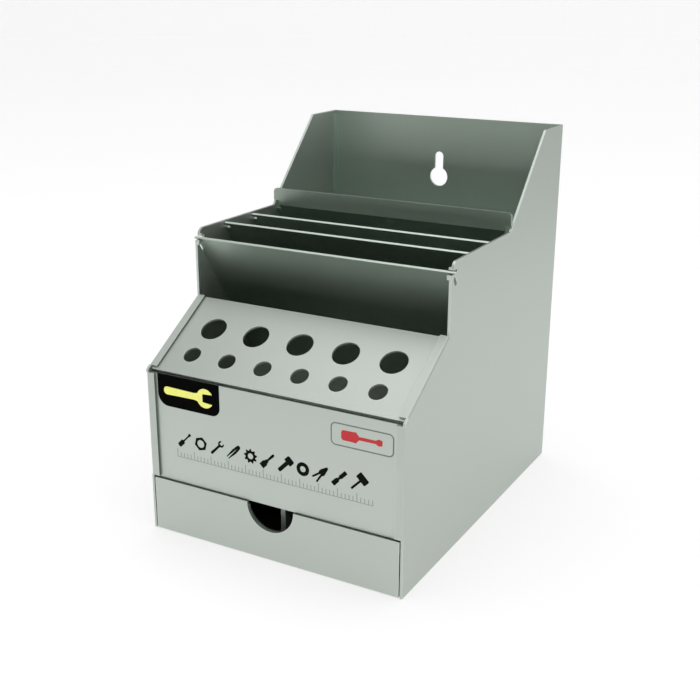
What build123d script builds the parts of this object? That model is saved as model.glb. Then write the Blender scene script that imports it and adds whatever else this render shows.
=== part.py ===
"""Stepped desktop tool holder of folded sheet metal.

A slanted front panel has two rows of holes for screwdrivers. Behind it leaning dividers make
racks for flat tools, and a deep bin with a keyhole in its back wall stands at the rear.
A drawer with a half-round finger notch slides out of the bottom.

X runs to the right, Y from the front to the rear and Z up. The origin is the middle of the base.
"""
import os
from math import cos, radians, sin

from build123d import *

# Overall size
width = 140.0
depth = 184.0
height = 190.6

# Sheet metal, its bends and the gaps round pieces that are let into one another
sheet = 1.2
bend_radius = 1.0
clearance = 0.3
cut_overrun = 1.0

# Side walls: the slanted face, the step over the racks and the high rear end
front_top = 85.0
slant_angle = 32.0
slant_length = 51.0
step_top = 145.8
step_setback = 2.0
step_corner_radius = 3.6
rear_length = 69.6
crown_length = 26.7
flange_width = 4.6
front_flange_relief = 1.6
slant_flange_relief = 3.2
drawer_flange_relief = 0.8

# Lugs on the walls' step edge, below and above the ear of the rack front, and the slit for that ear
lug_height = 2.2
lug_reach = 1.1
upper_lug_height = 1.2
upper_lug_reach = 1.2
slit_length = 6.0
slit_height = 1.4

# Front panel and hole panel behind the flanges
front_panel_drop = 1.2
hole_panel_start = 2.0
large_hole_diameter = 13.6
large_hole_count = 5
large_hole_edge = 20.4
large_hole_row = 32.0
large_hole_shift = 0.5
small_hole_diameter = 9.1
small_hole_count = 6
small_hole_edge = 19.25
small_hole_row = 14.4
small_hole_shift = -0.8

# Racks, which lean back square to the slanted face
rack_count = 3
rack_depth = 60.0
rack_front_setback = 0.9
rack_front_drop = 4.8
rack_ear_height = 0.8
rack_ear_reach = 1.2
rack_tab_drop = 3.8
rack_tab_length = 3.8
rack_tab_recess = 0.8
rack_slot_slack = 0.9
relief_width = 2.6
divider_drop = 1.2
divider_relief_height = 1.6
divider_ear_drop = 3.0
divider_ear_height = 7.0
divider_ear_reach = 5.0
floor_ledge_length = 10.0

# Rear bin
bin_lip_height = 9.3
bin_lip_setback = 1.0
bin_lip_corner = 2.2
bin_relief_drop = 2.0
bin_ear_inset = 0.5
bin_floor_flange = 10.0

# Back wall and its keyhole
back_flange = 4.9
back_flange_drop = 2.0
keyhole_drop = 33.6
keyhole_shift = -1.0
keyhole_diameter = 10.8
keyhole_slot_width = 5.1
keyhole_slot_rise = 14.2

# Drawer bay between the base plate and the bay roof
bay_height = 28.4
base_flange = 10.0
roof_flange = 8.0

# Drawer
drawer_top_gap = 0.3
drawer_side_gap = 0.6
drawer_floor_gap = 0.3
drawer_notch_radius = 12.9
tray_slide_gap = 0.3
tray_side_gap = 0.4
tray_top_gap = 2.1
tray_rear_gap = 8.0
tray_divider_setback = 11.5
tray_divider_drop = 2.5
tray_divider_foot = 8.0
tray_divider_hem = 6.0

# Places that follow from the sizes
front = -depth / 2
rear = depth / 2
outer = width / 2
inner = outer - sheet
rack_half = inner - clearance
slant = radians(slant_angle)
along_direction = (0, cos(slant), sin(slant))
square_direction = (0, -sin(slant), cos(slant))


def slope_point(along, above):
    """Side-view point, from a distance up the slanted face and a height square to it."""
    return (
        front + along * cos(slant) - above * sin(slant),
        front_top + along * sin(slant) + above * cos(slant),
    )


def along_at(y, z):
    """Distance up the slanted face of a side-view point."""
    return (y - front) * cos(slant) + (z - front_top) * sin(slant)


def above_at_height(along, z):
    """Height square to the slanted face at which the line up from a place on it reaches Z."""
    return (z - front_top - along * sin(slant)) / cos(slant)


step_y = slope_point(slant_length, 0)[0]
knee_y = rear - rear_length
lip_y = knee_y + bin_lip_setback
crown_y = rear - crown_length
rack_front_along = along_at(step_y + rack_front_setback, step_top - rack_front_drop)
bin_along = along_at(lip_y, step_top)
rack_pitch = (bin_along - rack_front_along) / rack_count
rack_front_above = above_at_height(rack_front_along, step_top - rack_front_drop)
roof_top = bay_height + sheet
bin_ledge_y, bin_ledge_z = slope_point(bin_along + sheet, -rack_depth)
bin_floor_top = bin_ledge_z + sheet

os.makedirs("parts", exist_ok=True)


def finish(builder, name):
    """Names a finished piece and writes it to its own file."""
    builder.part.label = name
    export_step(builder.part, f"parts/{name}.step")


def slope_rectangle(along_low, along_high, above_low, above_high, mode=Mode.ADD):
    """Face of the side view with two edges along the slanted face and two square to it."""
    with BuildLine() as outline:
        Polyline(
            slope_point(along_low, above_low),
            slope_point(along_high, above_low),
            slope_point(along_high, above_high),
            slope_point(along_low, above_high),
            close=True,
        )
    make_face(outline.edges(), mode=mode)


def side_rectangle(y_low, y_high, z_low, z_high, mode=Mode.ADD):
    """Upright rectangle of the side view."""
    with BuildLine() as outline:
        Polyline((y_low, z_low), (y_high, z_low), (y_high, z_high), (y_low, z_high), close=True)
    make_face(outline.edges(), mode=mode)


def round_bend(plane, length):
    """Takes the sharp corner off a bend: the plane's origin is the corner and its axes point inwards."""
    with BuildSketch(plane) as corner:
        with BuildLine():
            Line((bend_radius, 0), (0, 0))
            Line((0, 0), (0, bend_radius))
            RadiusArc((0, bend_radius), (bend_radius, 0), -bend_radius)
        make_face()
    extrude(corner.sketch, amount=length, mode=Mode.SUBTRACT)


# Right side wall: a stepped sheet with narrow flanges folded in along the front and the slanted face.
# Its step edge is notched for the ear of the rack front, stands back above that ear and has a small lug
# folded in below it and another above it.
ear_rear_y = slope_point(rack_front_along + sheet, rack_front_above - rack_ear_height)[0]
ear_bottom = slope_point(rack_front_along, rack_front_above - rack_ear_height)[1]
ear_top = slope_point(rack_front_along + sheet, rack_front_above)[1]
lug_top = ear_bottom - clearance
upper_lug_bottom = ear_top + clearance
step_upper_y = step_y + step_setback
front_flange_bottom = bay_height + drawer_flange_relief
front_flange_top = front_top - front_flange_relief

with BuildPart() as right_side:
    with BuildSketch(Plane.YZ.offset(inner)):
        with BuildLine():
            Polyline(
                (front, 0),
                (front, front_top),
                (step_y, slope_point(slant_length, 0)[1]),
                (step_y, ear_top),
                (step_upper_y, ear_top),
                (step_upper_y, step_top),
                (knee_y, step_top),
                (crown_y, height),
                (rear, height),
                (rear, 0),
                close=True,
            )
        step_corner = make_face().vertices().sort_by_distance((step_upper_y, step_top))[0]
        fillet(step_corner, radius=step_corner_radius)
        side_rectangle(
            step_y - cut_overrun,
            ear_rear_y + clearance,
            ear_bottom - clearance,
            ear_top + clearance,
            mode=Mode.SUBTRACT,
        )
        side_rectangle(
            step_y - cut_overrun,
            step_y + slit_length,
            ear_top + clearance - slit_height,
            ear_top + clearance,
            mode=Mode.SUBTRACT,
        )
        slope_rectangle(
            rack_front_along - rack_slot_slack,
            rack_front_along + sheet + clearance,
            rack_front_above - rack_tab_drop - rack_tab_length - clearance,
            rack_front_above - rack_tab_drop + clearance,
            mode=Mode.SUBTRACT,
        )
    extrude(amount=sheet)
    with BuildSketch(Plane.YZ.offset(outer - flange_width)):
        side_rectangle(front, front + sheet, front_flange_bottom, front_flange_top)
        slope_rectangle(slant_flange_relief, slant_length, -sheet, 0)
    extrude(amount=flange_width)
    with BuildSketch(Plane.YZ.offset(inner - lug_reach)):
        side_rectangle(step_y, step_y + sheet, lug_top - lug_height, lug_top)
    extrude(amount=lug_reach)
    with BuildSketch(Plane.YZ.offset(inner - upper_lug_reach)):
        side_rectangle(
            step_upper_y,
            step_upper_y + sheet,
            upper_lug_bottom,
            upper_lug_bottom + upper_lug_height,
        )
    extrude(amount=upper_lug_reach)
    round_bend(
        Plane(origin=(outer, front, front_flange_bottom), x_dir=(0, 1, 0), z_dir=(0, 0, 1)),
        front_flange_top - front_flange_bottom,
    )
    round_bend(
        Plane(
            origin=(outer, *slope_point(slant_flange_relief, 0)),
            x_dir=(0, sin(slant), -cos(slant)),
            z_dir=along_direction,
        ),
        slant_length - slant_flange_relief,
    )
finish(right_side, "right_side")

# Left side wall: the same sheet folded the other way.
with BuildPart() as left_side:
    mirror(right_side.part, about=Plane.YZ)
finish(left_side, "left_side")

# Back wall: a flat sheet between the side walls, with a strip folded forward against each of them
# above the bin floor, and a keyhole, a little off the middle, to hang the holder on a screw.
back_flange_bottom = bin_floor_top + bin_floor_flange + clearance
back_flange_top = height - back_flange_drop
keyhole_height = height - keyhole_drop
keyhole_slot_shoulder = keyhole_height + keyhole_slot_rise - keyhole_slot_width / 2
keyhole_slot_left = keyhole_shift - keyhole_slot_width / 2
keyhole_slot_right = keyhole_shift + keyhole_slot_width / 2

with BuildPart() as back_panel:
    with BuildSketch(Plane.XZ.offset(-rear)):
        with BuildLine():
            Polyline((-inner, 0), (inner, 0), (inner, height), (-inner, height), close=True)
        make_face()
        with Locations((keyhole_shift, keyhole_height)):
            Circle(keyhole_diameter / 2, mode=Mode.SUBTRACT)
        with BuildLine():
            Line((keyhole_slot_left, keyhole_height), (keyhole_slot_right, keyhole_height))
            Line((keyhole_slot_right, keyhole_height), (keyhole_slot_right, keyhole_slot_shoulder))
            RadiusArc(
                (keyhole_slot_right, keyhole_slot_shoulder),
                (keyhole_slot_left, keyhole_slot_shoulder),
                -keyhole_slot_width / 2,
            )
            Line((keyhole_slot_left, keyhole_slot_shoulder), (keyhole_slot_left, keyhole_height))
        make_face(mode=Mode.SUBTRACT)
    extrude(amount=sheet)
    for side in (-1, 1):
        with BuildSketch(Plane.YZ.offset(side * inner)):
            side_rectangle(rear - back_flange, rear, back_flange_bottom, back_flange_top)
        extrude(amount=-side * sheet)
        round_bend(
            Plane(
                origin=(side * inner, rear, back_flange_bottom),
                x_dir=(-1, 0, 0) if side > 0 else (0, -1, 0),
                z_dir=(0, 0, 1),
            ),
            back_flange_top - back_flange_bottom,
        )
finish(back_panel, "back_panel")

# Base plate: a tray-like sheet whose sides fold up inside the walls and guide the drawer.
base_start = front + sheet + clearance

with BuildPart() as base_plate:
    with BuildSketch(Plane.XZ.offset(-base_start)):
        with BuildLine():
            Polyline(
                (-inner, base_flange),
                (-inner, 0),
                (inner, 0),
                (inner, base_flange),
                (inner - sheet, base_flange),
                (inner - sheet, sheet),
                (sheet - inner, sheet),
                (sheet - inner, base_flange),
                close=True,
            )
        make_face()
    extrude(amount=base_start - (rear - sheet))
finish(base_plate, "base_plate")

# Drawer bay roof: the sheet over the drawer, folded down along both walls and up behind the front panel.
roof_start = front + 2 * sheet

with BuildPart() as bay_roof:
    with BuildSketch(Plane.XZ.offset(-roof_start)):
        with BuildLine():
            Polyline(
                (-inner, roof_top - roof_flange),
                (-inner, roof_top),
                (inner, roof_top),
                (inner, roof_top - roof_flange),
                (inner - sheet, roof_top - roof_flange),
                (inner - sheet, bay_height),
                (sheet - inner, bay_height),
                (sheet - inner, roof_top - roof_flange),
                close=True,
            )
        make_face()
    extrude(amount=roof_start - (rear - sheet))
    with BuildSketch(Plane.YZ.offset(-inner)):
        side_rectangle(roof_start, roof_start + sheet, bay_height, bay_height + roof_flange)
    extrude(amount=2 * inner)
finish(bay_roof, "drawer_bay_roof")

# Front panel: a flat sheet behind the front flanges, from the drawer up to the slanted face.
with BuildPart() as front_panel:
    with BuildSketch(Plane.YZ.offset(-rack_half)):
        side_rectangle(front + sheet, front + 2 * sheet, bay_height, front_top - front_panel_drop)
    extrude(amount=2 * rack_half)
finish(front_panel, "front_panel")

# Hole panel: a flat sheet under the slanted flanges, with a row of small and a row of large holes,
# each a little off the middle.
slope_plane = Plane(origin=(0, front, front_top), x_dir=(1, 0, 0), z_dir=square_direction)
large_hole_pitch = (width - 2 * large_hole_edge) / (large_hole_count - 1)
small_hole_pitch = (width - 2 * small_hole_edge) / (small_hole_count - 1)

with BuildPart() as hole_panel:
    with BuildSketch(Plane.YZ.offset(-rack_half)):
        slope_rectangle(hole_panel_start, slant_length, -2 * sheet, -sheet)
    extrude(amount=2 * rack_half)
    with BuildSketch(slope_plane):
        with Locations((large_hole_shift, large_hole_row)):
            with GridLocations(large_hole_pitch, large_hole_pitch, large_hole_count, 1):
                Circle(large_hole_diameter / 2)
        with Locations((small_hole_shift, small_hole_row)):
            with GridLocations(small_hole_pitch, small_hole_pitch, small_hole_count, 1):
                Circle(small_hole_diameter / 2)
    extrude(amount=-2 * sheet - cut_overrun, mode=Mode.SUBTRACT)
finish(hole_panel, "hole_panel")

# Rack floor: a sheet parallel to the hole panel. Its foot lies on the bay roof, up to the roof's lip,
# and its ledge carries the bin floor.
floor_start = (roof_top + sheet - front_top + rack_depth * cos(slant)) / sin(slant)
foot_y, foot_z = slope_point(floor_start, -rack_depth)
foot_start = roof_start + sheet + clearance

with BuildPart() as rack_floor:
    with BuildSketch(Plane.YZ.offset(-inner)):
        with BuildLine():
            floor_face = Polyline(
                (foot_start, foot_z),
                (foot_y, foot_z),
                (bin_ledge_y, bin_ledge_z),
                (bin_ledge_y + floor_ledge_length, bin_ledge_z),
            )
            offset(floor_face, amount=sheet, side=Side.RIGHT)
        make_face()
    extrude(amount=2 * inner)
finish(rack_floor, "rack_floor")

# Rack front: the leaning sheet behind the hole panel. Its ears lie in the walls' notches and stand out
# a little beyond them, and a tab below each ear goes through a slot of the wall.
with BuildPart() as rack_front:
    with BuildSketch(Plane.YZ.offset(-rack_half)):
        slope_rectangle(rack_front_along, rack_front_along + sheet, -rack_depth, rack_front_above)
    extrude(amount=2 * rack_half)
    with BuildSketch(Plane.YZ.offset(-outer - rack_ear_reach)):
        slope_rectangle(
            rack_front_along,
            rack_front_along + sheet,
            rack_front_above - rack_ear_height,
            rack_front_above,
        )
    extrude(amount=2 * (outer + rack_ear_reach))
    with BuildSketch(Plane.YZ.offset(rack_tab_recess - outer)):
        slope_rectangle(
            rack_front_along,
            rack_front_along + sheet,
            rack_front_above - rack_tab_drop - rack_tab_length,
            rack_front_above - rack_tab_drop,
        )
    extrude(amount=2 * (outer - rack_tab_recess))
finish(rack_front, "rack_front")

# Dividers: leaning sheets between the racks. At each end a short ear with a level top is folded
# to the rear, below a relief cut that keeps the bend clear of the upper edge.
for number, name in enumerate(("divider_front", "divider_rear"), start=1):
    divider_along = rack_front_along + number * rack_pitch
    divider_above = above_at_height(divider_along, step_top - divider_drop)
    divider_ear_top = divider_above - divider_ear_drop
    ear_front = divider_along + sheet
    ear_rear = ear_front + divider_ear_reach
    ear_rear_top = above_at_height(ear_rear, slope_point(ear_front, divider_ear_top)[1])
    with BuildPart() as divider:
        with BuildSketch(Plane.YZ.offset(-rack_half)):
            slope_rectangle(divider_along, divider_along + sheet, -rack_depth, divider_above)
        extrude(amount=2 * rack_half)
        for side in (-1, 1):
            with BuildSketch(Plane.YZ.offset(side * rack_half)):
                with BuildLine():
                    Polyline(
                        slope_point(ear_front, divider_ear_top - divider_ear_height),
                        slope_point(ear_rear, divider_ear_top - divider_ear_height),
                        slope_point(ear_rear, ear_rear_top),
                        slope_point(ear_front, divider_ear_top),
                        close=True,
                    )
                make_face()
            extrude(amount=-side * sheet)
            with BuildSketch(Plane.YZ.offset(side * rack_half)):
                slope_rectangle(
                    divider_along - cut_overrun,
                    divider_along + sheet + cut_overrun,
                    divider_ear_top,
                    divider_ear_top + divider_relief_height,
                )
            extrude(amount=-side * relief_width, mode=Mode.SUBTRACT)
    finish(divider, name)

# Bin front: a leaning sheet whose upper edge is folded upright as a lip. The lip's ears stand over the feet
# of the walls' rear slopes, its bend has a relief cut at each end, and its upper corners are rounded.
lip_top = step_top + bin_lip_height
crown_rise = (height - step_top) / (crown_y - knee_y)
relief_top = step_top + (lip_y + sheet - knee_y) * crown_rise + clearance
relief_bottom = step_top - bin_relief_drop
relief_above = above_at_height(bin_along + sheet, relief_bottom)
relief_rear_y = slope_point(bin_along + sheet, relief_above)[0]

with BuildPart() as bin_front:
    with BuildSketch(Plane.YZ.offset(-rack_half)):
        with BuildLine():
            bin_face = Polyline(
                (lip_y, lip_top),
                (lip_y, step_top),
                slope_point(bin_along, -rack_depth),
            )
            offset(bin_face, amount=sheet, side=Side.LEFT)
        make_face()
    extrude(amount=2 * rack_half)
    with BuildSketch(Plane.YZ.offset(bin_ear_inset - outer)):
        side_rectangle(lip_y, lip_y + sheet, relief_top, lip_top)
    extrude(amount=2 * (outer - bin_ear_inset))
    for side in (-1, 1):
        with BuildSketch(Plane.YZ.offset(side * rack_half)):
            side_rectangle(lip_y - cut_overrun, relief_rear_y + cut_overrun, relief_bottom, relief_top)
        extrude(amount=-side * relief_width, mode=Mode.SUBTRACT)
    lip_corners = bin_front.edges().filter_by(Axis.Y).group_by(Axis.Z)[-1]
    fillet(lip_corners, radius=bin_lip_corner)
finish(bin_front, "bin_front")

# Bin floor: a flat sheet on the ledge of the rack floor, folded up against the back wall.
with BuildPart() as bin_floor:
    with BuildSketch(Plane.YZ.offset(-inner)):
        with BuildLine():
            Polyline(
                (bin_ledge_y + clearance, bin_ledge_z),
                (rear - sheet, bin_ledge_z),
                (rear - sheet, bin_floor_top + bin_floor_flange),
                (rear - 2 * sheet, bin_floor_top + bin_floor_flange),
                (rear - 2 * sheet, bin_floor_top),
                (bin_ledge_y + clearance, bin_floor_top),
                close=True,
            )
        make_face()
    extrude(amount=2 * inner)
finish(bin_floor, "bin_floor")

# Drawer front: a flat sheet flush with the walls' front edges, with a half-round finger notch.
drawer_half = inner - drawer_side_gap
drawer_top = bay_height - drawer_top_gap

with BuildPart() as drawer_front:
    with BuildSketch(Plane.XZ.offset(-front)):
        with BuildLine():
            Polyline(
                (-drawer_half, drawer_floor_gap),
                (drawer_half, drawer_floor_gap),
                (drawer_half, drawer_top),
                (-drawer_half, drawer_top),
                close=True,
            )
        make_face()
        with Locations((0, drawer_top)):
            Circle(drawer_notch_radius, mode=Mode.SUBTRACT)
    extrude(amount=-sheet)
finish(drawer_front, "drawer_front")

# Drawer tray: a folded tray that slides on the base plate. Its front wall backs the drawer front
# and has the same notch.
tray_half = inner - sheet - tray_side_gap
tray_bottom = sheet + tray_slide_gap
tray_top = bay_height - tray_top_gap
tray_front = front + sheet
tray_rear = rear - sheet - tray_rear_gap

with BuildPart() as drawer_tray:
    with BuildSketch(Plane.XZ.offset(-tray_front)):
        with BuildLine():
            Polyline(
                (-tray_half, tray_top),
                (-tray_half, tray_bottom),
                (tray_half, tray_bottom),
                (tray_half, tray_top),
                (tray_half - sheet, tray_top),
                (tray_half - sheet, tray_bottom + sheet),
                (sheet - tray_half, tray_bottom + sheet),
                (sheet - tray_half, tray_top),
                close=True,
            )
        make_face()
    extrude(amount=tray_front - tray_rear)
    with BuildSketch(Plane.YZ.offset(sheet - tray_half)):
        side_rectangle(tray_front, tray_front + sheet, tray_bottom, tray_top)
        side_rectangle(tray_rear - sheet, tray_rear, tray_bottom, tray_top)
    extrude(amount=2 * (tray_half - sheet))
    with BuildSketch(Plane.XZ.offset(-tray_front)):
        with Locations((0, drawer_top)):
            Circle(drawer_notch_radius)
    extrude(amount=-sheet, mode=Mode.SUBTRACT)
finish(drawer_tray, "drawer_tray")

# Drawer divider: an upright sheet along the tray, folded out at its foot and folded back on itself
# along its front edge. The fold's middle is the middle of the tray.
with BuildPart() as drawer_divider:
    with BuildSketch(Plane.XZ.offset(-front - tray_divider_setback)):
        with BuildLine():
            divider_face = Polyline(
                (sheet, tray_top - tray_divider_drop),
                (sheet, tray_bottom + sheet),
                (sheet - tray_divider_foot, tray_bottom + sheet),
            )
            offset(divider_face, amount=sheet, side=Side.RIGHT)
        make_face()
    extrude(amount=front + tray_divider_setback - (tray_rear - sheet))
    with BuildSketch(Plane.YZ):
        side_rectangle(
            front + tray_divider_setback,
            front + tray_divider_setback + tray_divider_hem,
            tray_bottom + 2 * sheet,
            tray_top - tray_divider_drop,
        )
    extrude(amount=-sheet)
finish(drawer_divider, "drawer_divider")
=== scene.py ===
"""Looks of a stepped desk tool holder: folded sheet steel in a satin grey-green coat, with a drawer."""
import math

import bmesh
import bpy
from mathutils import Matrix, Vector


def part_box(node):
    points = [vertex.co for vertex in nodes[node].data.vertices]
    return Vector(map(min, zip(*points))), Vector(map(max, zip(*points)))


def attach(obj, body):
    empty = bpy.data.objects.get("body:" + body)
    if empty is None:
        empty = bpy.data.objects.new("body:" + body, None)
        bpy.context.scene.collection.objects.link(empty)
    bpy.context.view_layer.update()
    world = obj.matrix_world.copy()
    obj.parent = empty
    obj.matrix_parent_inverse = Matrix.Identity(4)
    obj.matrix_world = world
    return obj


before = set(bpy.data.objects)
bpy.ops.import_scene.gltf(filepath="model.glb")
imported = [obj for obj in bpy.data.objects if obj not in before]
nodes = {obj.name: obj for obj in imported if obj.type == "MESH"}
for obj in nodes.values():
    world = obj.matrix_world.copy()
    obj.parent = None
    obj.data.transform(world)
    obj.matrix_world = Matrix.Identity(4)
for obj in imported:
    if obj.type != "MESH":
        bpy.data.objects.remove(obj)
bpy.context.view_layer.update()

# Side walls: two stepped sheets of 1.2 mm steel, mirror images, with a narrow flange folded in
# along the front and along the slanted face. They are powder coated in a satin grey green,
# and the rest of the case is welded between them.


class Wire:
    """A socket of a node tree: arithmetic on wires adds Math nodes, and node() adds any other node."""

    def __init__(self, tree, socket=None):
        self.tree = tree
        self.socket = socket

    def node(self, kind, settings, inlets, outlet=0):
        """Adds a node: its settings come first, then a value or a wire for each named inlet."""
        made = self.tree.nodes.new(kind)
        for name, value in settings.items():
            setattr(made, name, value)
        for name, value in inlets.items():
            if isinstance(value, Wire):
                self.tree.links.new(value.socket, made.inputs[name])
            else:
                made.inputs[name].default_value = value
        return Wire(self.tree, made.outputs[outlet] if made.outputs else None)

    def surface(self, kind, inlets):
        """Adds a shader and makes it the material's surface."""
        shader = self.node(kind, {}, inlets)
        self.node("ShaderNodeOutputMaterial", {}, {"Surface": shader})

    def maths(self, operation, first, second):
        """Adds a Math node on two values or wires."""
        return self.node("ShaderNodeMath", {"operation": operation}, {0: first, 1: second})

    def __add__(self, other):
        return self.maths("ADD", self, other)

    def __sub__(self, other):
        return self.maths("SUBTRACT", self, other)

    def __rsub__(self, other):
        return self.maths("SUBTRACT", other, self)

    def __mul__(self, other):
        return self.maths("MULTIPLY", self, other)

    __radd__ = __add__
    __rmul__ = __mul__

    def over(self, limit):
        """One where this wire's value is over a limit, and zero elsewhere."""
        return self.maths("GREATER_THAN", self, limit)

    def under(self, limit):
        """One where this wire's value is under a limit, and zero elsewhere."""
        return self.maths("LESS_THAN", self, limit)

    def unsigned(self):
        """This wire's value without its sign."""
        return self.maths("ABSOLUTE", self, 0.0)

    def axis(self, letter):
        """One coordinate of this wire's vector."""
        return self.node("ShaderNodeSeparateXYZ", {}, {"Vector": self}, letter)

    def along(self, direction):
        """How far this wire's vector goes in a direction."""
        settings = {"operation": "DOT_PRODUCT"}
        return self.node("ShaderNodeVectorMath", settings, {0: self, 1: direction}, "Value")

    def noise(self, scale, seed, detail=2.0):
        """Soft noise from 0 to 1 over this wire's coordinates, with so many cells to the metre."""
        inlets = {"Vector": self, "W": seed, "Scale": scale, "Detail": detail}
        return self.node("ShaderNodeTexNoise", {"noise_dimensions": "4D"}, inlets)

    def swing(self, reach):
        """This noise as a swing of so far in all about zero."""
        return reach * (self - 0.5)

    def blend(self, low_colour, high_colour):
        """Colour between two others, by this wire's value."""
        settings = {"data_type": "RGBA", "clamp_factor": True}
        return self.node("ShaderNodeMix", settings, {0: self, 6: low_colour, 7: high_colour}, 2)


def fresh_material(name):
    """Empty material and a wire to write its nodes with."""
    material = bpy.data.materials.new(name)
    material.use_nodes = True
    material.node_tree.nodes.clear()
    return material, Wire(material.node_tree)


def lift(colour, factor):
    """The same colour, lighter or darker, with full opacity."""
    return (*(min(1.0, factor * share) for share in colour), 1.0)


def toned(tone, colour, tone_range, shade=1.0):
    """The colour at its darkest and lightest tone and at all between, by the tone's value."""
    darkest, lightest = tone_range
    return tone.blend(lift(colour, darkest * shade), lift(colour, lightest * shade))


coat_colour = (0.57, 0.624, 0.574)
coat_tones = (0.95, 1.05)
satin_roughness = 0.45
middle_tone = 0.5
# The walls' coat is painted darker than the panels', a painted shade, which the back wall's outside shares.
wall_shade = 0.87

# Clouds of tone, orange peel and fine grain: cells to the metre, steps that keep the seeds apart,
# and shares in the tone, the gloss and the relief.
cloud_scale = 18.0
peel_scale = 900.0
peel_seed = 3.0
grain_scale = 3600.0
grain_seed = 7.0
cloud_tone = 0.8
grain_tone = 0.35
cloud_gloss = 0.10
grain_gloss = 0.12
peel_strength = 0.35
peel_depth = 0.00006
grain_relief = 0.3

# Edges: the rounding that catches light, the wider one that marks the pale edge, and the paler, smoother
# paint there, partly wear and partly a painted highlight.
edge_samples = 6
edge_radius = 0.0003
worn_radius = 0.0006
worn_gain = 2.5
wear_and_highlight_lift = 1.6
worn_gloss = 0.06
# Front-facing cut edges get this share of the pale edge paint as a painted highlight.
cut_edge_highlight = 0.35

# Which way a face looks, by its normal: across the sheet, to the front, up or to the rear.
across_limit = 0.5
front_limit = -0.3
up_limit = 0.5
rear_limit = 0.5

# Flanges of the walls: the height that they stay under and how near the middle their cut ends come,
# in metres. Their front faces are painted lighter, a painted light, and less metallic where they look up,
# and their cut ends have a painted shade.
flange_top = 0.1135
flange_end_reach = 0.067
flange_painted_light = 0.92
flange_matt = 0.35
flange_end_painted_shade = 0.35


def powder_coat(
    name,
    seed,
    colour=coat_colour,
    shade=1.0,
    roughness=satin_roughness,
    metallic=1.0,
    wear_and_highlight_share=0.8,
    sheet=None,
    flanged=False,
    top_shade=None,
    rear_shade=None,
):
    """Satin powder coat: faint clouds of tone, orange peel, fine grain, and paler paint on edges, which is
    partly wear and partly a painted highlight. A sheet's direction through its thickness tells its cut
    edges, which get a painted highlight at the front, and a flanged one has the walls' flanges, painted
    lighter, with painted shade on their cut ends. The shade darkens or lightens the whole coat as a painted
    shade or light, and faces that look up or to the rear can have their own painted shade."""
    material, start = fresh_material(name)
    place = start.node("ShaderNodeTexCoord", {}, {}, "Object")
    cloud = place.noise(scale=cloud_scale, seed=seed)
    peel = place.noise(scale=peel_scale, seed=seed + peel_seed)
    grain = place.noise(scale=grain_scale, seed=seed + grain_seed, detail=1.0)
    normal = start.node("ShaderNodeNewGeometry", {}, {}, "Normal")
    soft_normal = start.node("ShaderNodeBevel", {"samples": edge_samples}, {"Radius": edge_radius})
    worn_normal = start.node("ShaderNodeBevel", {"samples": edge_samples}, {"Radius": worn_radius})
    clamped = {"operation": "MULTIPLY", "use_clamp": True}
    edge = start.node("ShaderNodeMath", clamped, {0: 1 - normal.along(worn_normal), 1: worn_gain})
    tone = middle_tone + cloud.swing(cloud_tone) + grain.swing(grain_tone)
    paint = toned(tone, colour, coat_tones, shade)
    if sheet:
        square = normal.along(sheet).unsigned().under(across_limit)
        cut = square * normal.axis("Y").under(front_limit)
        if flanged:
            low = place.axis("Z").under(flange_top)
            # Front faces of the flanges are painted lighter, a painted light.
            flange = low * cut
            # Cut ends of the flanges near the middle get a painted shade.
            flange_end = low * (1 - square) * place.along(sheet).unsigned().under(flange_end_reach)
            paint = flange.blend(paint, lift(coat_colour, flange_painted_light))
            paint = flange_end.blend(paint, lift(coat_colour, flange_end_painted_shade))
            metallic = metallic - flange_matt * flange * normal.axis("Z").over(up_limit)
            cut = cut * (1 - low)
            edge = edge * (1 - flange_end)
        edge = edge.maths("MAXIMUM", edge, cut_edge_highlight * cut)
    # Faces that look to the rear keep the coat untinted, at their own painted shade.
    if rear_shade:
        outside = normal.axis("Y").over(rear_limit)
        paint = outside.blend(paint, toned(tone, coat_colour, coat_tones, rear_shade))
    # Faces that look up get a painted shade.
    if top_shade:
        paint = normal.axis("Z").over(up_limit).blend(paint, lift(coat_colour, top_shade))
    # Edges take pale, smoother paint: partly wear and partly a painted highlight.
    wear_and_highlight = wear_and_highlight_share * edge
    gloss = roughness + cloud.swing(cloud_gloss) + grain.swing(grain_gloss) - worn_gloss * edge
    height = peel + grain_relief * grain
    relief = {"Strength": peel_strength, "Distance": peel_depth, "Height": height, "Normal": soft_normal}
    finish = {
        "Base Color": wear_and_highlight.blend(paint, lift(coat_colour, wear_and_highlight_lift)),
        "Metallic": metallic * (1 - wear_and_highlight),
        "Roughness": gloss,
        "Normal": start.node("ShaderNodeBump", {}, relief),
    }
    start.surface("ShaderNodeBsdfPrincipled", finish)
    return material


def dress(material, *names):
    """Gives CAD nodes their finish."""
    for name in names:
        slots = nodes[name].data.materials
        slots.clear()
        slots.append(material)


across_wall = (1.0, 0.0, 0.0)
wall_coat = powder_coat(
    "wall coat", seed=1.0, shade=wall_shade, metallic=0.9, sheet=across_wall, flanged=True
)
dress(wall_coat, "left_side", "right_side")

# Back wall: a flat sheet welded between the side walls, with a strip folded forward at each end
# and a keyhole for hanging the holder on a screw. Outside it has the walls' coat with their painted shade,
# and inside the same coat painted greener, as light bounced between the inner sheets, like the sheets that
# stand in the case.
bounce_tinted_colour = (0.56, 0.66, 0.575)
back_coat = powder_coat(
    "back wall coat", seed=2.0, colour=bounce_tinted_colour, metallic=0.92, wear_and_highlight_share=0.1, rear_shade=wall_shade
)
dress(back_coat, "back_panel")

# Base plate and drawer bay roof: two trays of the same sheet that stiffen the bottom of the case
# and guide the drawer. They are welded to the walls by their folded sides.
dress(powder_coat("bay coat", seed=3.0), "base_plate", "drawer_bay_roof")

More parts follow.
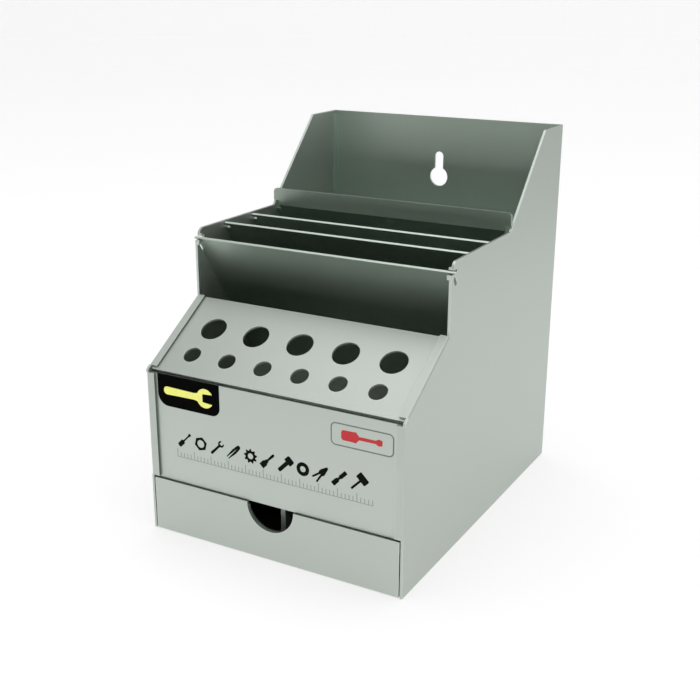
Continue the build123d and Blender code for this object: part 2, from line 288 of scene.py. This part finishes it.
# Front panel and hole panel: flat sheets welded behind the flanges of the side walls. The slanted one
# is punched with six small and five large holes for the tools. The upright one's top edge has a painted
# shade where it lies in the seam between them, and both coats are painted a little darker, a painted shade.
dress(powder_coat("panel coat", seed=4.0, shade=0.98, wear_and_highlight_share=0.1, top_shade=0.3), "front_panel")
dress(powder_coat("hole panel coat", seed=10.0, shade=0.96, roughness=0.42, metallic=0.65), "hole_panel")

# Label: a black film stuck to the upper left corner of the front panel, level with the panel's top edge.
# A yellow spanner is screen printed across its middle. Sizes of prints are in millimetres.
millimetre = 0.001
panel_low, panel_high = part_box("front_panel")
panel_top = panel_high.z / millimetre
film_height = 0.06
ink_height = 0.03
bond_depth = 0.02
weld_distance = 0.001
label_left = -64.2
label_right = -27.9
label_low = panel_top - 16.2
label_left_radius = 6.0
label_right_radius = 4.5
spanner_length = 29.0
spanner_centre = ((label_left + label_right) / 2, (label_low + panel_top) / 2)
lying_turn = -math.pi / 2

film_black = (0.0006, 0.0006, 0.0006)
film_tones = (0.6, 1.8)
film_roughness = 0.32
smudge_scale = 160.0
smudge_gloss = 0.14
dust_scale = 5200.0
dust_seed = 2.0
dust_gloss = 0.10
dust_relief = {"Strength": 0.2, "Distance": 0.00002}

ink_yellow = (0.95, 0.97, 0.25)
ink_tones = (0.88, 1.08)
ink_roughness = 0.52
mottle_scale = 420.0
mottle_tone = 0.9
mottle_gloss = 0.16
mesh_scale = 6000.0
mesh_seed = 4.0
mesh_tone = 0.5
mesh_gloss = 0.10
mesh_relief = {"Strength": 0.25, "Distance": 0.00002}
thin_gloss = 0.02


def arc(centre, radius, start, end, steps=12):
    """Points of an arc between two angles, given in quarter turns."""
    angles = [math.pi / 2 * (start + (end - start) * step / steps) for step in range(steps + 1)]
    return [(centre[0] + radius * math.cos(turn), centre[1] + radius * math.sin(turn)) for turn in angles]


def rounded_rectangle(left, right, low, high, radii):
    """Rectangle with a radius for each corner: lower left, lower right, upper right and upper left.
    The first corner's arc starts after two quarter turns."""
    corners = ((left, low, 1, 1), (right, low, -1, 1), (right, high, -1, -1), (left, high, 1, -1))
    points = []
    for quarter, ((x, z, inward_x, inward_z), radius) in enumerate(zip(corners, radii), start=2):
        if radius:
            centre = (x + inward_x * radius, z + inward_z * radius)
            points += arc(centre, radius, quarter, quarter + 1)
        else:
            points.append((x, z))
    return points


def mirrored(half):
    """Closed outline of a tool that stands upright, one unit long, from its right half:
    pairs of a height above its foot and a half width, in order."""
    right = [(wide, along - 0.5) for along, wide in half]
    left = [(-wide, along) for wide, along in reversed(right) if wide > 0]
    return right + left


def placed(outline, size, turn, centre):
    """Unit outline made so large, turned about its middle and moved to a centre."""
    across, up = size * math.cos(turn), size * math.sin(turn)
    return [(centre[0] + across * x - up * z, centre[1] + up * x + across * z) for x, z in outline]


def flat_print(name, material, outlines, low, high):
    """Thin layer on the front panel, between two heights above the panel's face:
    outlines that are filled where an odd number of them overlap."""
    curve = bpy.data.curves.new(name, "CURVE")
    curve.dimensions = "2D"
    curve.fill_mode = "BOTH"
    curve.extrude = (high - low) / 2
    for outline in outlines:
        spline = curve.splines.new("POLY")
        spline.points.add(len(outline) - 1)
        spline.use_cyclic_u = True
        for point, (x, z) in zip(spline.points, outline):
            point.co = (x, z, 0.0, 1.0)
    drawing = bpy.data.objects.new(name, curve)
    mesh = bpy.data.meshes.new_from_object(drawing)
    bpy.data.objects.remove(drawing)
    lay_on_panel(name, material, mesh, (low + high) / 2)


def lay_on_panel(name, material, mesh, height):
    """Stands a flat mesh, drawn in millimetres, on the front panel as a clean piece of the case."""
    upright = Matrix.Rotation(math.pi / 2, 4, "X")
    seat = Matrix.Translation((0.0, panel_low.y - height * millimetre, 0.0))
    mesh.transform(seat @ Matrix.Scale(millimetre, 4) @ upright)
    shape = bmesh.new()
    shape.from_mesh(mesh)
    bmesh.ops.remove_doubles(shape, verts=shape.verts, dist=weld_distance * millimetre)
    bmesh.ops.recalc_face_normals(shape, faces=shape.faces)
    shape.to_mesh(mesh)
    shape.free()
    mesh.materials.clear()
    mesh.materials.append(material)
    piece = bpy.data.objects.new(name, mesh)
    bpy.context.scene.collection.objects.link(piece)
    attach(piece, "case")


def black_film(name, seed):
    """Gloss film: near black, with soft smudges and fine dust that dull it in places."""
    material, start = fresh_material(name)
    place = start.node("ShaderNodeTexCoord", {}, {}, "Object")
    smudge = place.noise(scale=smudge_scale, seed=seed)
    dust = place.noise(scale=dust_scale, seed=seed + dust_seed, detail=1.0)
    finish = {
        "Base Color": toned(0.5 * (smudge + dust), film_black, film_tones),
        "Roughness": film_roughness + smudge.swing(smudge_gloss) + dust.swing(dust_gloss),
        "Normal": start.node("ShaderNodeBump", {}, {**dust_relief, "Height": dust}),
        "Specular IOR Level": thin_gloss,
    }
    start.surface("ShaderNodeBsdfPrincipled", finish)
    return material


def screen_ink(name, colour, seed):
    """Matt screen ink: an even tone, a faint mottle where the layer is thinner, and a fine mesh grain."""
    material, start = fresh_material(name)
    place = start.node("ShaderNodeTexCoord", {}, {}, "Object")
    mottle = place.noise(scale=mottle_scale, seed=seed)
    mesh_grain = place.noise(scale=mesh_scale, seed=seed + mesh_seed, detail=1.0)
    tone = middle_tone + mottle.swing(mottle_tone) + mesh_grain.swing(mesh_tone)
    finish = {
        "Base Color": toned(tone, colour, ink_tones),
        "Roughness": ink_roughness + mottle.swing(mottle_gloss) + mesh_grain.swing(mesh_gloss),
        "Normal": start.node("ShaderNodeBump", {}, {**mesh_relief, "Height": mesh_grain}),
        "Specular IOR Level": thin_gloss,
    }
    start.surface("ShaderNodeBsdfPrincipled", finish)
    return material


label_radii = (label_left_radius, label_right_radius, 0.0, 0.0)
label_outline = rounded_rectangle(label_left, label_right, label_low, panel_top, label_radii)
flat_print("label_film", black_film("label film", seed=11.0), [label_outline], -bond_depth, film_height)

spanner_half = [
    *arc((0.07, 0.0), 0.07, 2.0, 1.0),
    (0.62, 0.058),
    *arc((0.84, 0.0), 0.168, 1.72, 0.34),
    (0.79, 0.07),
]
spanner = mirrored(spanner_half)
spanner_outline = placed(spanner, spanner_length, lying_turn, spanner_centre)
yellow_ink = screen_ink("yellow ink", ink_yellow, seed=12.0)
flat_print("label_print", yellow_ink, [spanner_outline], film_height - bond_depth, film_height + ink_height)

# Framed mark: a thin grey frame with round corners and a red screwdriver in it, screen printed
# on the upper right of the front panel.
frame_left = 32.5
frame_right = 64.2
frame_high = panel_top - 5.3
frame_low = frame_high - 11.1
frame_radius = 2.6
frame_line = 0.65
driver_length = 20.6
driver_centre = (48.2, panel_top - 10.8)
ink_grey = (0.20, 0.225, 0.205)
ink_red = (0.56, 0.055, 0.06)

frame_outlines = []
for inset in (0.0, frame_line):
    frame_outlines.append(
        rounded_rectangle(
            frame_left + inset,
            frame_right - inset,
            frame_low + inset,
            frame_high - inset,
            4 * (frame_radius - inset,),
        )
    )
grey_ink = screen_ink("grey ink", ink_grey, seed=13.0)
flat_print("frame_print", grey_ink, frame_outlines, -bond_depth, ink_height)

driver_half = [
    *arc((0.07, 0.05), 0.07, 2.0, 1.0, steps=6),
    (0.30, 0.12),
    (0.36, 0.13),
    (0.41, 0.075),
    (0.44, 0.04),
    (0.84, 0.04),
    (0.91, 0.08),
    (1.0, 0.06),
]
driver = mirrored(driver_half)
driver_outline = placed(driver, driver_length, lying_turn, driver_centre)
red_ink = screen_ink("red ink", ink_red, seed=14.0)
flat_print("driver_print", red_ink, [driver_outline], -bond_depth, ink_height)

# Tool row: eleven plain pictures of tools and hardware, screen printed in black across the front panel.
# They lean to the right and stand at an even pitch.
row_left = -49.4
row_pitch = 9.6
row_height = panel_top - 32.2
row_tool_length = 10.0
row_round_size = 7.4
row_turn = -math.pi / 4
ink_black = (0.006, 0.007, 0.006)


def ring_of_points(radii):
    """Closed outline round the origin that goes through the given radii at even steps."""
    step = 2 * math.pi / len(radii)
    return [(radius * math.cos(i * step), radius * math.sin(i * step)) for i, radius in enumerate(radii)]


def circle(radius, steps=32):
    """Closed round outline about the origin."""
    return ring_of_points(steps * (radius,))


tweezers = mirrored([(0.80, 0.0), (0.0, 0.04), (0.0, 0.085), (0.55, 0.135), (0.93, 0.105), (1.0, 0.05)])
brush = mirrored(
    [(0.0, 0.15), (0.30, 0.15), (0.36, 0.10), (0.47, 0.10), (0.50, 0.05), (0.92, 0.07), (1.0, 0.04)]
)
bolt = mirrored([(0.0, 0.07), (0.05, 0.10), (0.66, 0.10), (0.66, 0.22), (0.94, 0.22), (1.0, 0.17)])
pliers = mirrored(
    [(0.50, 0.0), (0.0, 0.11), (0.02, 0.20), (0.44, 0.12), (0.56, 0.17), (0.68, 0.15), (1.0, 0.05)]
)
chisel = mirrored(
    [(0.0, 0.09), (0.04, 0.12), (0.38, 0.11), (0.42, 0.06), (0.52, 0.06), (0.58, 0.10), (1.0, 0.10)]
)
mallet = mirrored([(0.0, 0.055), (0.64, 0.055), (0.64, 0.27), (0.68, 0.30), (0.96, 0.30), (1.0, 0.27)])
round_hole = circle(0.20)
nut = [ring_of_points(6 * (0.5,)), circle(0.27)]
gear = [ring_of_points(9 * (0.38, 0.5, 0.5, 0.38)), round_hole]
washer = [circle(0.46, steps=40), round_hole]
row_pictures = (driver, nut, spanner, tweezers, gear, brush, bolt, washer, pliers, chisel, mallet)
row_outlines = []
for number, picture in enumerate(row_pictures):
    centre = (row_left + number * row_pitch, row_height)
    if isinstance(picture[0], list):
        row_outlines += [placed(outline, row_round_size, row_turn, centre) for outline in picture]
    else:
        row_outlines.append(placed(picture, row_tool_length, row_turn, centre))
black_ink = screen_ink("black ink", ink_black, seed=15.0)
flat_print("tool_row_print", black_ink, row_outlines, -bond_depth, ink_height)

# Graduated rule: a pale grey scale without figures, screen printed under the row of tools.
# Its marks stand on a thin line, and every fifth one is longer.
rule_left = -54.0
rule_low = panel_top - 41.6
rule_sizes = {
    "Marks": 55,
    "Pitch": 2.0,
    "Mark Width": 0.38,
    "Short Mark": 2.4,
    "Long Mark": 4.2,
    "Line": 0.3,
}
rule_group = 5.0
rule_layer = bond_depth + ink_height
ink_pale = (0.31, 0.34, 0.312)

rule_tree = bpy.data.node_groups.new("graduated rule", "GeometryNodeTree")
rule_tree.interface.new_socket("Geometry", in_out="OUTPUT", socket_type="NodeSocketGeometry")
start = Wire(rule_tree)
rule_inputs = {}
given = {}
for name in rule_sizes:
    kind = "NodeSocketInt" if name == "Marks" else "NodeSocketFloat"
    rule_inputs[name] = rule_tree.interface.new_socket(name, in_out="INPUT", socket_type=kind).identifier
for name in rule_sizes:
    given[name] = start.node("NodeGroupInput", {}, {}, name)
step = start.node("ShaderNodeCombineXYZ", {}, {"X": given["Pitch"]})
marks = start.node("GeometryNodeMeshLine", {}, {"Count": given["Marks"], "Offset": step})
index = start.node("GeometryNodeInputIndex", {}, {})
fifth = index.maths("MODULO", index, rule_group).under(0.5)
mark_height = given["Short Mark"] + fifth * (given["Long Mark"] - given["Short Mark"])
mark_sizes = {"X": given["Mark Width"], "Y": mark_height, "Z": rule_layer}
mark_size = start.node("ShaderNodeCombineXYZ", {}, mark_sizes)
block = start.node("GeometryNodeMeshCube", {}, {"Size": (1.0, 1.0, 1.0)})
raised = start.node("GeometryNodeTransform", {}, {"Geometry": block, "Translation": (0.0, 0.5, 0.0)})
mark_parts = {"Points": marks, "Instance": raised, "Scale": mark_size}
standing = start.node("GeometryNodeInstanceOnPoints", {}, mark_parts)
rule_length = (given["Marks"] - 1) * given["Pitch"]
line_sizes = {"X": rule_length + given["Mark Width"], "Y": given["Line"], "Z": rule_layer}
line_size = start.node("ShaderNodeCombineXYZ", {}, line_sizes)
line_middle = start.node("ShaderNodeCombineXYZ", {}, {"X": 0.5 * rule_length, "Y": -0.5 * given["Line"]})
line_block = start.node("GeometryNodeMeshCube", {}, {"Size": line_size})
line = start.node("GeometryNodeTransform", {}, {"Geometry": line_block, "Translation": line_middle})
joined = start.node("GeometryNodeJoinGeometry", {}, {"Geometry": standing})
rule_tree.links.new(line.socket, joined.socket.node.inputs["Geometry"])
solid = start.node("GeometryNodeRealizeInstances", {}, {"Geometry": joined})
pale_ink = screen_ink("pale ink", ink_pale, seed=16.0)
inked = start.node("GeometryNodeSetMaterial", {}, {"Geometry": solid, "Material": pale_ink})
start.node("NodeGroupOutput", {}, {"Geometry": inked})

rule_drawing = bpy.data.objects.new("rule_print", bpy.data.meshes.new("rule_print"))
bpy.context.scene.collection.objects.link(rule_drawing)
rule_maker = rule_drawing.modifiers.new("graduated rule", "NODES")
rule_maker.node_group = rule_tree
for name, size in rule_sizes.items():
    rule_maker[rule_inputs[name]] = size
drawn_rule = rule_drawing.evaluated_get(bpy.context.evaluated_depsgraph_get())
rule_mesh = bpy.data.meshes.new_from_object(drawn_rule)
bpy.data.objects.remove(rule_drawing)
rule_mesh.transform(Matrix.Translation((rule_left, rule_low, 0.0)))
lay_on_panel("rule_print", pale_ink, rule_mesh, (ink_height - bond_depth) / 2)

# Racks: a sloping floor, a leaning front sheet that hooks into the walls and two leaning dividers.
# They are welded between the walls and coated with the case. The front sheet's and dividers' coat is
# painted greener, as light bounced between the sheets, and darker down in the slots, a painted shade; the
# floor's is painted lighter, a painted light, and is rougher.
slope = math.radians(32.0)
up_slope = (0.0, math.cos(slope), math.sin(slope))
rack_coat = powder_coat("rack coat", seed=5.0, colour=bounce_tinted_colour, shade=0.75, sheet=up_slope)
dress(rack_coat, "rack_front")
divider_coat = powder_coat("divider coat", seed=8.0, colour=bounce_tinted_colour, shade=0.88, sheet=up_slope)
dress(divider_coat, "divider_front", "divider_rear")
dress(powder_coat("rack floor coat", seed=9.0, shade=1.2, roughness=0.75, metallic=0.85), "rack_floor")

# Rear bin: a leaning sheet with an upright lip, whose ears stand over the feet of the walls' rear slopes,
# and a flat floor that rests on the racks' ledge. Both are coated steel sheet, with the coat painted
# greener, as light bounced between the inner sheets, and darker down in the bin, a painted shade.
bin_coat = powder_coat("bin coat", seed=6.0, colour=bounce_tinted_colour, shade=0.78, wear_and_highlight_share=0.3)
dress(bin_coat, "bin_front", "bin_floor")

# Drawer: a flat front with a half-round finger notch, a folded tray and an upright divider.
# They are coated steel sheet, welded together, and slide out between the base plate and the bay roof.
# The drawer's coat is painted a little darker, a painted shade, and its divider's lighter, a painted light.
dress(powder_coat("drawer coat", seed=7.0, shade=0.95), "drawer_front", "drawer_tray")
dress(powder_coat("drawer divider coat", seed=17.0, shade=1.1, metallic=0.8), "drawer_divider")

# Sweep: a round white table that turns up into a low wall all round, so that every view has a white
# ground. What looks at it finds it almost white, and the rest of its light is the holder's soft shadow.
# Its rings are pairs of a radius and a height, in metres.
sweep_drop = 0.0003
sweep_rings = ((3.0, 0.0), (3.3, 0.08), (3.5, 0.3), (3.6, 1.7))
sweep_sides = 64
sweep_colour = (0.92, 0.92, 0.92, 1.0)
sweep_white_share = 0.65
pure_white = (1.0, 1.0, 1.0, 1.0)


def seen_directly(start):
    """One for what the camera, a reflection or a clear material sees, and zero for light on the object."""
    rays = ("Is Camera Ray", "Is Glossy Ray", "Is Transmission Ray")
    camera, mirror, through = (start.node("ShaderNodeLightPath", {}, {}, ray) for ray in rays)
    return camera.maths("MAXIMUM", camera, camera.maths("MAXIMUM", mirror, through))


sweep_shape = bmesh.new()
rim = None
for radius, height in sweep_rings:
    ring = []
    for step in range(sweep_sides):
        turn = 2 * math.pi * step / sweep_sides
        place = (radius * math.cos(turn), radius * math.sin(turn), height - sweep_drop)
        ring.append(sweep_shape.verts.new(place))
    if rim is None:
        sweep_shape.faces.new(ring)
    else:
        for step in range(sweep_sides):
            sweep_shape.faces.new((rim[step - 1], rim[step], ring[step], ring[step - 1]))
    rim = ring
sweep_mesh = bpy.data.meshes.new("sweep")
sweep_shape.to_mesh(sweep_mesh)
sweep_shape.free()
sweep = bpy.data.objects.new("sweep", sweep_mesh)
bpy.context.scene.collection.objects.link(sweep)
sweep_material, start = fresh_material("white sweep")
shadowed = start.node("ShaderNodeBsdfDiffuse", {}, {"Color": sweep_colour})
white = start.node("ShaderNodeEmission", {}, {"Color": pure_white, "Strength": 1.0})
start.surface("ShaderNodeMixShader", {0: sweep_white_share * seen_directly(start), 1: shadowed, 2: white})
sweep_mesh.materials.append(sweep_material)

# Cards: dark felt boards beyond the camera and high at the rear, a paler one flat on the floor at the
# right rear and a glowing white one at the upper right, all seen only in reflections. The felt darkens
# the inner faces and the top of the right wall, and the white card lights that wall's bends.
dark_grey = (0.16, 0.16, 0.16, 1.0)
pale_grey = (0.32, 0.32, 0.32, 1.0)
card_glow = 0.8
floor_card_rise = 0.0005
card_corners = {
    "front_card": ((-2.4, -1.3, 0.0), (1.6, -1.3, 0.0), (1.6, -1.3, 1.6), (-2.4, -1.3, 1.6)),
    "high_card": ((-2.4, 1.7, 0.5), (0.9, 1.7, 0.5), (0.9, 1.7, 2.6), (-2.4, 1.7, 2.6)),
    "floor_card": (
        (0.4, 0.7, floor_card_rise),
        (2.0, 0.7, floor_card_rise),
        (2.0, 2.4, floor_card_rise),
        (0.4, 2.4, floor_card_rise),
    ),
    "white_card": ((0.85, -0.5, 0.9), (0.85, 1.1, 0.9), (2.0, 1.1, 1.5), (2.0, -0.5, 1.5)),
}
dark_felt, start = fresh_material("dark felt")
start.surface("ShaderNodeBsdfDiffuse", {"Color": dark_grey})
pale_felt, start = fresh_material("pale felt")
start.surface("ShaderNodeBsdfDiffuse", {"Color": pale_grey})
white_glow, start = fresh_material("white card")
start.surface("ShaderNodeEmission", {"Color": pure_white, "Strength": card_glow})
card_finishes = {"floor_card": pale_felt, "white_card": white_glow}
for name, corners in card_corners.items():
    card_mesh = bpy.data.meshes.new(name)
    card_mesh.from_pydata(corners, [], [(0, 1, 2, 3)])
    card_mesh.materials.append(card_finishes.get(name, dark_felt))
    card = bpy.data.objects.new(name, card_mesh)
    card.visible_camera = False
    card.visible_diffuse = False
    card.visible_shadow = False
    bpy.context.scene.collection.objects.link(card)

# Room: a dim and even white surround beyond the sweep, made by the world's background.
# It fills the shadows a little.
room_strength = 0.15
world = bpy.data.worlds.new("room")
bpy.context.scene.world = world
world.use_nodes = True
world.node_tree.nodes.clear()
start = Wire(world.node_tree)
room = start.node("ShaderNodeBackground", {}, {"Color": pure_white, "Strength": room_strength})
start.node("ShaderNodeOutputWorld", {}, {"Surface": room})

# Lamps: a broad soft box overhead, and an open sky as wide as an overcast one, which comes from above
# on the left front and doesn't show in reflections. Lengths are in metres.
soft_box_length = 1.6
soft_box_width = 0.9
soft_box_watts = 5.3
soft_box_place = (0.13, 0.05, 1.1)
sky_strength = 2.6
sky_spread = math.radians(150)
sky_direction = Vector((0.25, 0.35, -1.0))

soft_box_data = bpy.data.lights.new("soft_box", "AREA")
soft_box_data.shape = "RECTANGLE"
soft_box_data.size = soft_box_length
soft_box_data.size_y = soft_box_width
soft_box_data.energy = soft_box_watts
soft_box = bpy.data.objects.new("soft_box", soft_box_data)
soft_box.location = soft_box_place
bpy.context.scene.collection.objects.link(soft_box)
sky_data = bpy.data.lights.new("open_sky", "SUN")
sky_data.energy = sky_strength
sky_data.angle = sky_spread
sky = bpy.data.objects.new("open_sky", sky_data)
sky.rotation_mode = "QUATERNION"
sky.rotation_quaternion = sky_direction.to_track_quat("-Z", "Y")
sky.visible_glossy = False
bpy.context.scene.collection.objects.link(sky)

# Camera: in front of the right front corner, looking a little down. Its distance, lens and shift
# are those of the photograph, with the lens and the shift given in pixels of a square picture.
camera_azimuth = math.radians(29.67)
camera_elevation = math.radians(18.49)
camera_distance = 0.5476
camera_target = Vector((0.0, -0.027, 0.0906))
image_pixels = 700
focal_pixels = 1091.8
centre_shift_pixels = (11.9, -6.3)

camera_data = bpy.data.cameras.new("camera")
camera_data.sensor_width = 36.0
camera_data.lens = camera_data.sensor_width * focal_pixels / image_pixels
camera_data.shift_x = centre_shift_pixels[0] / image_pixels
camera_data.shift_y = centre_shift_pixels[1] / image_pixels
camera = bpy.data.objects.new("camera", camera_data)
backward = Vector(
    (
        math.sin(camera_azimuth) * math.cos(camera_elevation),
        -math.cos(camera_azimuth) * math.cos(camera_elevation),
        math.sin(camera_elevation),
    )
)
camera.location = camera_target + camera_distance * backward
camera.rotation_mode = "QUATERNION"
camera.rotation_quaternion = (-backward).to_track_quat("-Z", "Y")
bpy.context.scene.collection.objects.link(camera)
bpy.context.scene.camera = camera
bpy.context.scene.view_settings.view_transform = "Standard"
